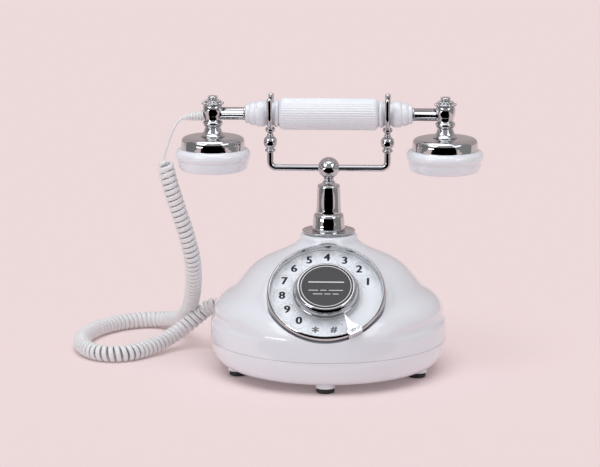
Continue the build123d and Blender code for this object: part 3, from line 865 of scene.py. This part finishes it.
class PHONE_OT_grip(bpy.types.Operator):
    """Turn the fluted grip, its ringed sleeves and the arm tubes"""
    bl_idname = "phone.grip"
    bl_label = "Grip"

    def execute(self, context):
        dress(self.fluted_barrel(), "grip_barrel", "handset", "white", ("handset_grip",))
        for side, word in ((-1, "left"), (1, "right")):
            outline = [
                (31.2, 0, 1), (31.2, 7.5, 1), (39.8, 7.5, 1), (39.8, 9.8), (40.8, 10.9), (42.4, 10.6),
                (44.0, 9.2), (45.8, 8.4), (47.4, 8.35), (49.0, 8.8), (50.6, 9.8), (52.4, 10.4), (54.4, 10.55),
                (56.2, 10.4), (57.3, 9.9), (57.8, 9.2, 1), (58.2, 9.1, 1), (59.6, 9.5), (61.2, 9.2),
                (62.5, 8.5), (63.0, 8.0, 1), (63.4, 7.7, 1), (65.2, 7.8), (66.0, 7.3), (66.3, 6.4),
                (66.0, 5.0, 1), (58.9, 5.0, 1), (58.9, 0, 1)
            ]
            sleeve = turned([(side * p[0], *p[1:]) for p in outline], AXIS, steps=80, axis=(1, 0, 0))
            dress(sleeve, f"grip_ringed_sleeve_{word}", "handset", "white",
                  (f"grip_sleeve_{word}",))
            tube = [
                (59.1, 0, 1), (59.1, 4.95, 1), (66.4, 4.95, 1), (66.5, 5.3), (67.3, 5.45), (67.9, 5.1, 1),
                (84.2, 5.1, 1), (84.4, 4.95, 1), (86.4, 4.95, 1), (86.4, 0, 1)
            ]
            arm = turned([(side * p[0], *p[1:]) for p in tube], AXIS, steps=64, axis=(1, 0, 0))
            plated(arm, f"arm_rod_{word}", "handset", f"arm_tube_{word}")
        return {"FINISHED"}

    def fluted_barrel(self):
        """Spin the barrel with three lines to a flute, then draw every third line in."""
        half, flutes = GRIP_HALF, sizes().flutes
        outer = [
            (-half, 7.6, 1), (-half, 9.6, 1), (-half + 0.8, 11.2, 1), (-half + 2.2, 12.4, 1),
            (-half + 3.6, GRIP_R, 1), (half - 3.6, GRIP_R, 1), (half - 2.2, 12.4, 1), (half - 0.8, 11.2, 1),
            (half, 9.6, 1), (half, 7.6, 1)
        ]
        barrel = turned(outer, steps=3 * flutes, closed=True, axis=(1, 0, 0))
        whole(barrel)
        bpy.ops.mesh.select_all(action="DESELECT")
        leave_edit()
        for v in barrel.data.vertices:
            line = round(atan2(v.co.z, v.co.y) / tau * 3 * flutes)
            v.select = line % 3 == 0 and hypot(v.co.y, v.co.z) > 12.2 * MM
        pick(barrel)
        bpy.ops.object.mode_set(mode="EDIT")
        bpy.ops.transform.resize(value=(1, 0.975, 0.975), center_override=(0, 0, 0))
        leave_edit()
        modified(barrel, "BEVEL", width=0.12 * MM, segments=2, limit_method="ANGLE", angle_limit=radians(14))
        smoothed(barrel, 50)
        set_down(barrel, AXIS)
        return barrel


class PHONE_OT_handset_ends(bpy.types.Operator):
    """Make the mouth and ear ends: urn post, petal finial, plated cup, cap with sound holes"""
    bl_idname = "phone.handset_ends"
    bl_label = "Handset ends"

    def execute(self, context):
        for side, word, k in ((-1, "mouth", 1.0), (1, "ear", EAR_SCALE)):
            put = Matrix.Translation((side * END_X * MM, 0, 0))
            urn = turned([
                (0, 189.6, 1), (9.3, 189.6, 1), (9.7, 190.1), (9.2, 191.0), (8.3, 191.9), (7.3, 193.6),
                (6.5, 196.2), (6.3, 197.6), (6.6, 198.2, 1), (7.3, 198.5), (8.0, 200.2), (7.3, 201.9),
                (6.6, 202.2, 1), (6.3, 203.2), (6.6, 205.0), (7.4, 207.6), (7.9, 210.4), (7.8, 212.6),
                (7.2, 214.4), (6.3, 215.3, 1), (0, 215.3, 1)
            ], put, steps=72)
            plated(urn, f"{word}_urn_post", "handset", f"{word}_post")
            plated(self.finial(side), f"{word}_petal_finial", "handset", f"{word}_finial")
            cup = turned([
                (0, 189.6, 1), (17.5, 189.6), (21.4, 189.3), (23.6, 188.5), (24.9, 187.0), (25.3, 185.2),
                (25.4, 183.0), (25.4, 180.0, 1), (23.6, 180.0, 1), (23.6, 173.2, 1), (21.8, 173.2, 1),
                (21.8, 186, 1), (0, 186, 1)
            ], put, steps=120, scale=k)
            plated(cup, f"{word}_plated_cup", "handset", f"{word}_cup")
            cap = turned([
                (23.9, 179.9, 1), (25.6, 180.0), (27.6, 179.4), (29.2, 177.9), (30.0, 175.6), (29.9, 173.6),
                (29.2, 172.0), (28.5, 171.3, 1), (28.35, 170.9, 1), (28.2, 168.2), (27.6, 165.4), (26.6, 163.6),
                (25.0, 162.7), (23.0, 162.4), (14.0, 162.4), (0, 162.4, 1), (0, 164.8, 1), (23.2, 164.8, 1),
                (23.7, 172, 1)
            ], put, steps=120, scale=k, closed=True)
            carved(cap, self.sound_holes(side))
            smoothed(cap, 34)
            dress(cap, f"{word}_cap_moulding", "handset", "white", (f"{word}_cap",))
        return {"FINISHED"}

    def finial(self, side):
        """Ring of petals round a small turned knob."""
        x = side * END_X
        parts = [turned([
            (0, 215.3, 1), (6.8, 215.3, 1), (7.8, 215.6), (8.1, 216.1), (7.8, 216.7), (6.9, 217.1),
            (6.1, 217.6), (5.9, 218.3), (4.9, 218.9), (3.5, 219.2), (3.3, 219.7), (4.0, 220.4), (4.1, 221.1),
            (3.4, 221.9), (1.8, 222.3), (0, 222.4, 1)
        ], Matrix.Translation((x * MM, 0, 0)), steps=48)]
        for ring, radius, height, count in ((7.7, 1.4, 216.2, 14), (5.6, 1.0, 218.3, 12), (3.2, 0.8, 221.6, 8)):
            for i in range(count):
                turn = tau * (i + 0.5) / count
                leave_edit()
                bpy.ops.mesh.primitive_uv_sphere_add(segments=18, ring_count=12, radius=radius * MM, location=(
                    (x + ring * cos(turn)) * MM, ring * sin(turn) * MM, height * MM), scale=(1, 1, 0.72))
                bpy.ops.object.shade_smooth()
                parts.append(bpy.context.object)
        piece = joined(parts)
        bpy.ops.object.transform_apply(location=True, rotation=True, scale=True)
        return piece

    def sound_holes(self, side):
        spots = [(0, 0)] + [(ring * cos(tau * (i / count + lag)), ring * sin(tau * (i / count + lag)))
                            for ring, count, lag in ((6, 6, 0), (12, 12, 1 / 24)) for i in range(count)]
        parts = []
        for x, y in spots:
            leave_edit()
            bpy.ops.mesh.primitive_cylinder_add(vertices=20, radius=1.1 * MM, depth=6 * MM,
                                                location=((side * END_X + x) * MM, y * MM, 163.4 * MM))
            parts.append(bpy.context.object)
        return joined(parts)


class PHONE_OT_cord_ends(bpy.types.Operator):
    """Mould the ribbed strain relief at the mouth end and the plug at the base"""
    bl_idname = "phone.cord_ends"
    bl_label = "Cord ends"

    def execute(self, context):
        outline, z = [(0, 0, 1), (3.8, 0, 1), (3.8, 1.2)], 1.6
        for i in range(6):
            fat = 4.25 - 0.37 * i
            outline += [(fat - 0.9, z), (fat - 0.1, z + 0.35), (fat, z + 0.9), (fat - 0.1, z + 1.45),
                        (fat - 1.0, z + 1.9)]
            z += 2.35
        outline += [(1.75, 16.4), (1.5, 16.8, 1), (0, 16.8, 1)]
        put = Matrix.Translation(Vector((-99.4, -0.6, 206.6)) * MM) @ Matrix.Rotation(radians(-98), 4, "Y")
        dress(turned(outline, put, steps=40), "ribbed_strain_relief", "handset", "cord",
              ("strain_relief",))

        turn = radians(146.0)
        leave_edit()
        bpy.ops.mesh.primitive_cube_add(size=1, location=(0, 0, 0))
        block = context.object
        block.scale = (12.4 * MM, 9.9 * MM, 6.7 * MM)
        bpy.ops.object.transform_apply(location=True, rotation=True, scale=True)
        modified(block, "BEVEL", width=1.1 * MM, segments=3, limit_method="ANGLE")
        boot = turned([
            (0, 5.9, 1), (2.9, 5.9, 1), (2.7, 6.7), (2.2, 7.1), (2.6, 7.6), (2.2, 8.1), (2.5, 8.6), (1.9, 9.2),
            (1.6, 9.6, 1), (0, 9.6, 1)
        ], Matrix.Rotation(radians(90), 4, "Y"), steps=32)
        latch = turned([(0, 3.2, 1), (2.2, 3.2, 1), (2.0, 3.9), (0, 4.0, 1)], steps=24)
        plug = joined([block, boot, latch])
        smoothed(plug, 40)
        set_down(plug, Matrix.Rotation(turn, 4, "Z") @ Matrix.Translation(Vector((90.3, 0, 37.0)) * MM))
        dress(plug, "cord_plug_body", "base", "cord", ("cord_plug",))
        return {"FINISHED"}


# ------------------------------------------------------------------ dial
PLATE_TOP, WHEEL_LOW, WHEEL_TOP = -2.0, 0.2, 2.7
SIGNS = "1234567890*#"


class PHONE_OT_dial_face(bpy.types.Operator):
    """Turn the bezel and the number plate and print the digits"""
    bl_idname = "phone.dial_face"
    bl_label = "Dial face"

    def execute(self, context):
        bezel = turned([
            (44.3, -4.5, 1), (46.6, -4.5, 1), (46.6, 1.2), (46.5, 2.6), (46.1, 3.7), (45.5, 4.5), (44.9, 4.9),
            (44.45, 4.9), (44.3, 4.5, 1)
        ], DIAL_PLACE, closed=True, steps=180)
        plated(bezel, "dial_plated_bezel", "base", "dial_bezel")
        plate = turned([
            (3.5, -4.5, 1), (44.2, -4.5, 1), (44.2, -1.6), (43.9, -1.3), (43.5, -1.4), (43.2, -2.0, 1),
            (28.6, -2.0, 1), (28.3, -2.3), (27.9, -2.3), (27.6, -2.0, 1), (3.5, -2.0, 1)
        ], DIAL_PLACE, closed=True, steps=180)
        dress(plate, "dial_number_disc", "base", "white", ("number_plate",))
        s = sizes()
        for inks, look, name in ((SIGNS[:10], "ink", "dial_digits"), (SIGNS[10:], "grey_ink", "dial_signs")):
            marks = []
            for sign in inks:
                turn = s.first_hole + s.hole_step * SIGNS.index(sign)
                raised = 0.4 if sign in "*#" else 3.4
                away = s.hole_ring - 0.7 * MM
                spot = (away * cos(turn) - 0.4 * MM, away * sin(turn) + raised * MM)
                marks += [self.mark(sign, (spot[0] + lean * MM, spot[1] + rise * MM), s.digit_height, layer)
                          for layer, (lean, rise) in enumerate(((-0.45, 0), (0, 0.2), (0, -0.2), (0.45, 0)))]
            piece = joined(marks)
            set_down(piece, DIAL_PLACE)
            dress(piece, name, "base", look)
        return {"FINISHED"}

    def mark(self, sign, spot, height, layer):
        """One sign as a thin printed mesh, sized to its height; four of them, slightly apart, make it bold."""
        leave_edit()
        bpy.ops.object.text_add(location=(0, 0, 0))
        text = bpy.context.object
        text.data.body, text.data.size, text.data.extrude, text.data.offset = sign, 0.01, 0.00003, 0.0
        bpy.ops.object.convert(target="MESH")
        mark = bpy.context.object
        corners = [Vector(c) for c in mark.bound_box]
        centre = (corners[0] + corners[6]) / 2
        tall = corners[6].y - corners[0].y
        grow = height * (0.82 if sign in "*#" else 1.0) / tall
        mark.matrix_world = Matrix.Translation((spot[0], spot[1],
                                                (PLATE_TOP + 0.03 + 0.004 * layer) * MM)) @ Matrix.Diagonal(
            (grow, grow, 1, 1)) @ Matrix.Translation(-centre)
        bpy.ops.object.transform_apply(location=True, rotation=True, scale=True)
        return mark


class PHONE_OT_dial_wheel(bpy.types.Operator):
    """Make the clear finger wheel, the conical hub and the label card with its ring and lines"""
    bl_idname = "phone.dial_wheel"
    bl_label = "Dial wheel"

    def execute(self, context):
        s = sizes()
        leave_edit()
        bpy.ops.mesh.primitive_cylinder_add(vertices=180, radius=43.9 * MM, depth=(WHEEL_TOP - WHEEL_LOW) * MM,
                                            location=(0, 0, (WHEEL_TOP + WHEEL_LOW) / 2 * MM))
        wheel = context.object
        holes = [(0, 0, 8.0 * MM)]
        for i in range(12):
            turn = s.first_hole + s.hole_step * i
            holes.append((s.hole_ring * cos(turn), s.hole_ring * sin(turn), s.hole_radius))
        cutters = []
        for x, y, radius in holes:
            leave_edit()
            bpy.ops.mesh.primitive_cylinder_add(vertices=56, radius=radius, depth=12 * MM, location=(x, y, 0))
            cutters.append(context.object)
        carved(wheel, joined(cutters))
        modified(wheel, "BEVEL", width=0.3 * MM, segments=1, limit_method="ANGLE", angle_limit=radians(50))
        smoothed(wheel, 25)
        set_down(wheel, DIAL_PLACE)
        dress(wheel, "clear_finger_wheel", "dial_wheel", "acrylic", ("finger_wheel",))

        hub = turned([
            (0, 4.0, 1), (3.0, 4.0, 1), (3.0, -0.6, 1), (7.9, -0.6, 1), (7.9, 2.7, 1), (26.2, 2.7, 1),
            (26.2, 3.2), (25.9, 3.9), (25.3, 4.4), (25.0, 5.2), (24.2, 7.6), (23.5, 8.8), (22.8, 9.5),
            (22.2, 9.85), (21.8, 9.9), (21.5, 9.75), (21.4, 9.3, 1), (0, 9.3, 1)
        ], DIAL_PLACE, steps=144)
        plated(hub, "conical_hub", "dial_wheel", "dial_hub")
        card = turned([(0, 9.3, 1), (21.2, 9.3, 1), (21.2, 9.9), (20.9, 10.0), (20.5, 10.0, 1), (0, 10.0, 1)],
                      DIAL_PLACE,
                      steps=120)
        dress(card, "label_disc", "dial_wheel", "label", ("label_card",))
        ring = turned([(19.35, 9.98, 1), (19.95, 9.98, 1), (19.95, 10.05, 1), (19.35, 10.05, 1)], DIAL_PLACE,
                      closed=True,
                      steps=120)
        bars = [ring]
        for up, tall, runs in ((4.0, 1.0, ((-14.0, 14.0),)),
                               (-4.0, 0.6, ((-13.6, -6.0), (-4.4, 0.6), (2.2, 13.4))),
                               (-7.6, 0.6, ((-10.0, -2.6), (-1.0, 3.8), (5.4, 10.0)))):
            for start, end in runs:
                leave_edit()
                bpy.ops.mesh.primitive_cube_add(size=1, location=((start + end) / 2 * MM, up * MM, 10.01 * MM))
                bar = context.object
                bar.scale = ((end - start) * MM, tall * MM, 0.06 * MM)
                bpy.ops.object.transform_apply(location=True, rotation=True, scale=True)
                set_down(bar, DIAL_PLACE)
                bars.append(bar)
        dress(joined(bars), "label_ring_and_lines", "dial_wheel", "pale_ink")
        return {"FINISHED"}


class PHONE_OT_finger_stop(bpy.types.Operator):
    """Cut the finger stop's blade and fold it over the bezel"""
    bl_idname = "phone.finger_stop"
    bl_label = "Finger stop"

    def execute(self, context):
        low_z, high_z = 5.2, 6.2
        blade = [
            (13.9, -22.0), (14.6, -23.4), (18.6, -41.8), (19.6, -44.6), (28.8, -39.2), (26.9, -34.6),
            (20.9, -31.8), (16.4, -26.0)
        ]
        leave_edit()
        bpy.ops.mesh.primitive_circle_add(vertices=len(blade), radius=1, fill_type="NGON")
        plate = context.object
        for v, (x, y) in zip(plate.data.vertices, blade):
            v.co = (x * MM, y * MM, low_z * MM)
        whole(plate)
        bpy.ops.mesh.extrude_region_move(TRANSFORM_OT_translate={"value": (0, 0, (high_z - low_z) * MM)})
        bpy.ops.mesh.select_all(action="SELECT")
        bpy.ops.mesh.normals_make_consistent(inside=False)
        leave_edit()
        modified(plate, "BEVEL", width=0.3 * MM, segments=3, limit_method="ANGLE", angle_limit=radians(40))
        fold = turned([
            (43.5, low_z, 1), (46.9, low_z, 1), (46.9, -2.6, 1), (47.9, -2.6, 1), (47.9, 4.9), (47.7, 5.7),
            (47.2, high_z), (46.4, high_z, 1), (43.5, high_z, 1)
        ], closed=True, steps=14, sweep=radians(14.8))
        set_down(fold, Matrix.Rotation(radians(-52.2), 4, "Z"))
        stop = joined([plate, fold])
        smoothed(stop, 40)
        set_down(stop, DIAL_PLACE)
        plated(stop, "finger_stop_blade", "base", "finger_stop")
        return {"FINISHED"}


# ------------------------------------------------------------------ carried-over nodes
class PHONE_OT_frame_finishes(bpy.types.Operator):
    """Give every node of the frame the finish of its material slot"""
    bl_idname = "phone.frame_finishes"
    bl_label = "Frame finishes"

    def execute(self, context):
        slots = {row["node"]: row["material_slot"] for row in frame["record"]["subparts"]}
        for name, node in frame["nodes"].items():
            look = finish(SLOT_FINISH[slots[name]])
            if not node.material_slots:
                node.data.materials.append(look)
            for slot in node.material_slots:
                slot.material = look
        return {"FINISHED"}


OPERATORS = [PHONE_OT_stage, PHONE_OT_cord, PHONE_OT_base_shell, PHONE_OT_feet, PHONE_OT_column, PHONE_OT_cradle,
             PHONE_OT_grip, PHONE_OT_handset_ends, PHONE_OT_cord_ends, PHONE_OT_dial_face, PHONE_OT_dial_wheel,
             PHONE_OT_finger_stop, PHONE_OT_frame_finishes]


class PHONE_PT_panel(bpy.types.Panel):
    bl_label = "Telephone"
    bl_idname = "PHONE_PT_panel"
    bl_space_type = "VIEW_3D"
    bl_region_type = "UI"
    bl_category = "Telephone"

    def draw(self, context):
        for made in OPERATORS:
            self.layout.operator(made.bl_idname)


CLASSES = [PhoneSizes, PhoneColours, *OPERATORS, PHONE_PT_panel]


def register():
    for made in CLASSES:
        bpy.utils.register_class(made)
    bpy.types.Scene.phone_sizes = PointerProperty(type=PhoneSizes)
    bpy.types.Scene.phone_colours = PointerProperty(type=PhoneColours)


def unregister():
    del bpy.types.Scene.phone_colours
    del bpy.types.Scene.phone_sizes
    for made in reversed(CLASSES):
        bpy.utils.unregister_class(made)


def main():
    register()
    for made in OPERATORS:
        group, name = made.bl_idname.split(".")
        getattr(getattr(bpy.ops, group), name)()


if __name__ == "__main__":
    main()
